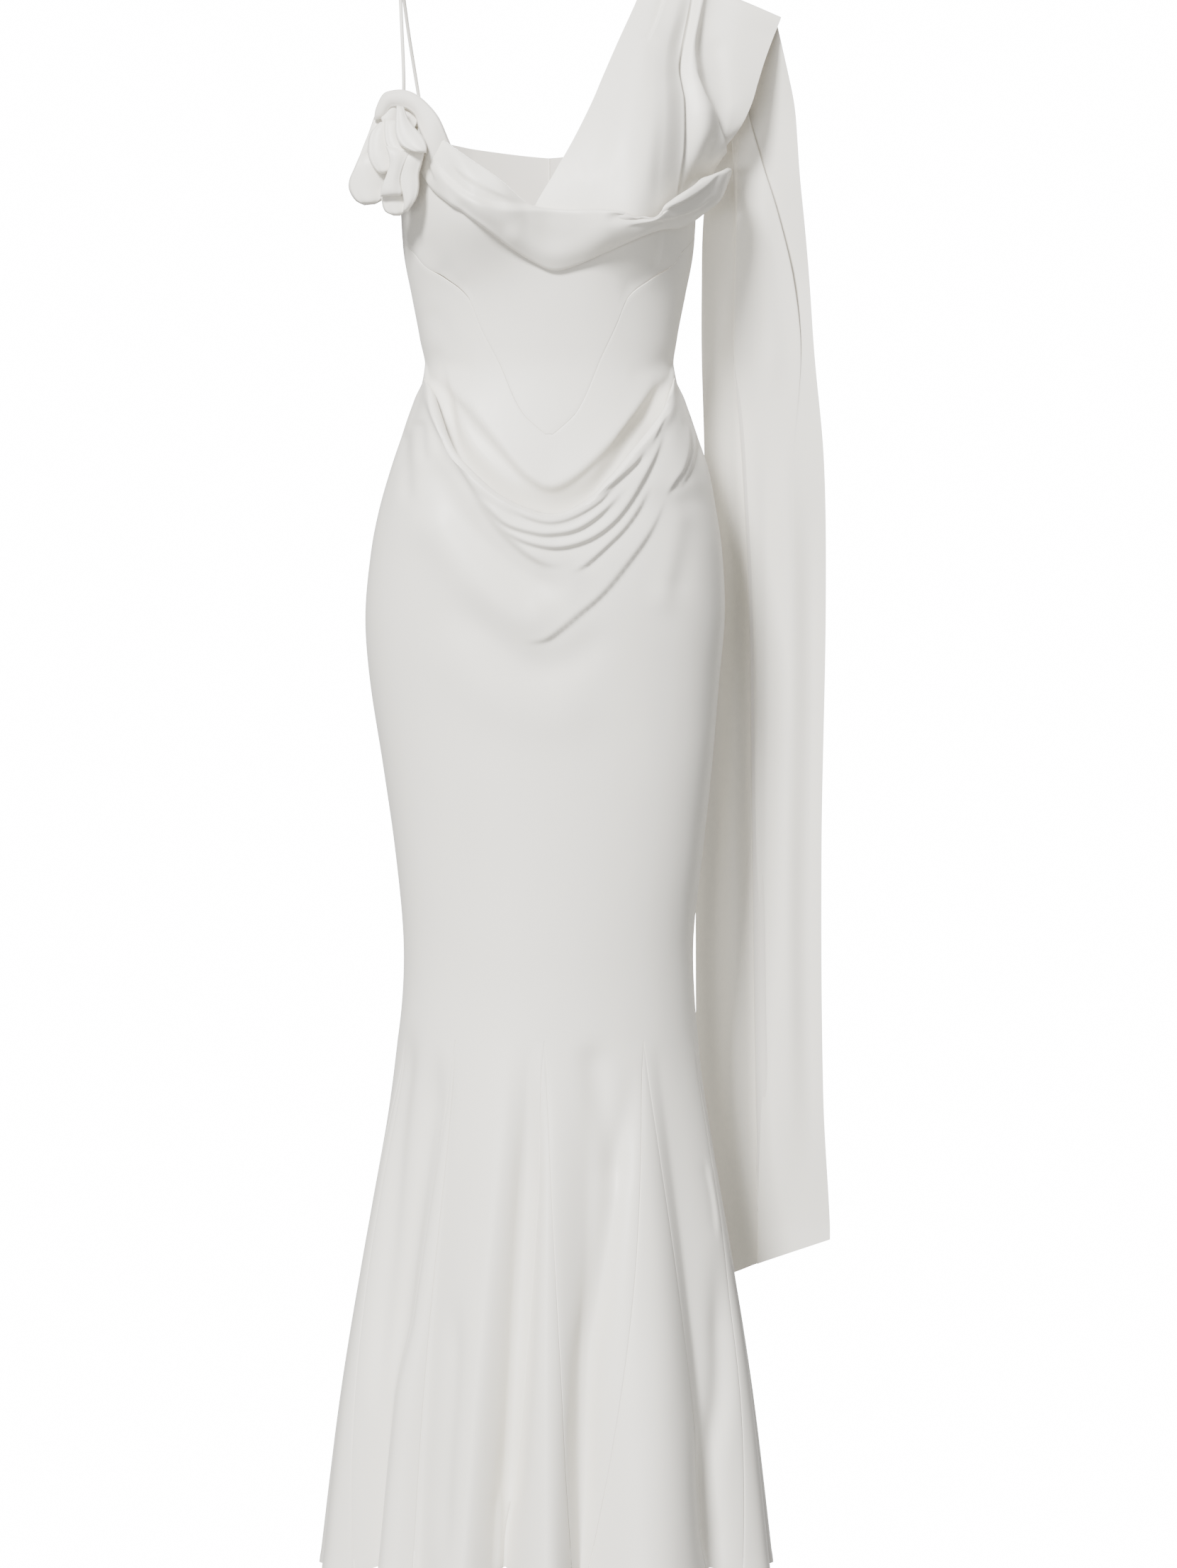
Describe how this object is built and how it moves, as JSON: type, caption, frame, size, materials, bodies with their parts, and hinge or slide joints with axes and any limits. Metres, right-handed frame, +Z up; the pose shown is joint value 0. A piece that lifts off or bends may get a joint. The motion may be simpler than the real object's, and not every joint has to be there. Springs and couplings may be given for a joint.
{
  "type": "draped dress",
  "caption": "Long ivory satin gown with one strap and rosette, cowl front, draped hip, flared godet hem, pleated shoulder drape and a long sash.",
  "frame": {"origin": "between the shoulder tops, where the dress hangs from its wearer", "axes": "+Z up, the front faces -Y, +X towards the wearer's left shoulder drape"},
  "size_m": [0.503, 0.4391, 1.5731],
  "materials": {
    "satin": "satin"
  },
  "bodies": {
    "root": {"bodice_front": "satin", "basque_front": "satin", "back_l": "satin", "back_r": "satin", "cowl": "satin", "strap": "satin", "shoulder_drape": "satin", "sash": "satin", "skirt_front": "satin", "skirt_back_l": "satin", "skirt_back_r": "satin", "godet_0": "satin", "godet_1": "satin", "godet_2": "satin", "godet_3": "satin", "godet_4": "satin", "godet_5": "satin", "godet_6": "satin", "godet_7": "satin", "godet_8": "satin", "godet_9": "satin", "rosette_hood": "satin", "rosette_upper_left": "satin", "rosette_low_left": "satin", "rosette_low_right": "satin", "rosette_bottom": "satin", "rosette_long_left": "satin", "rosette_upper_centre": "satin", "rosette_swirl": "satin", "rosette_bowl": "satin"}
  },
  "joints": []
}
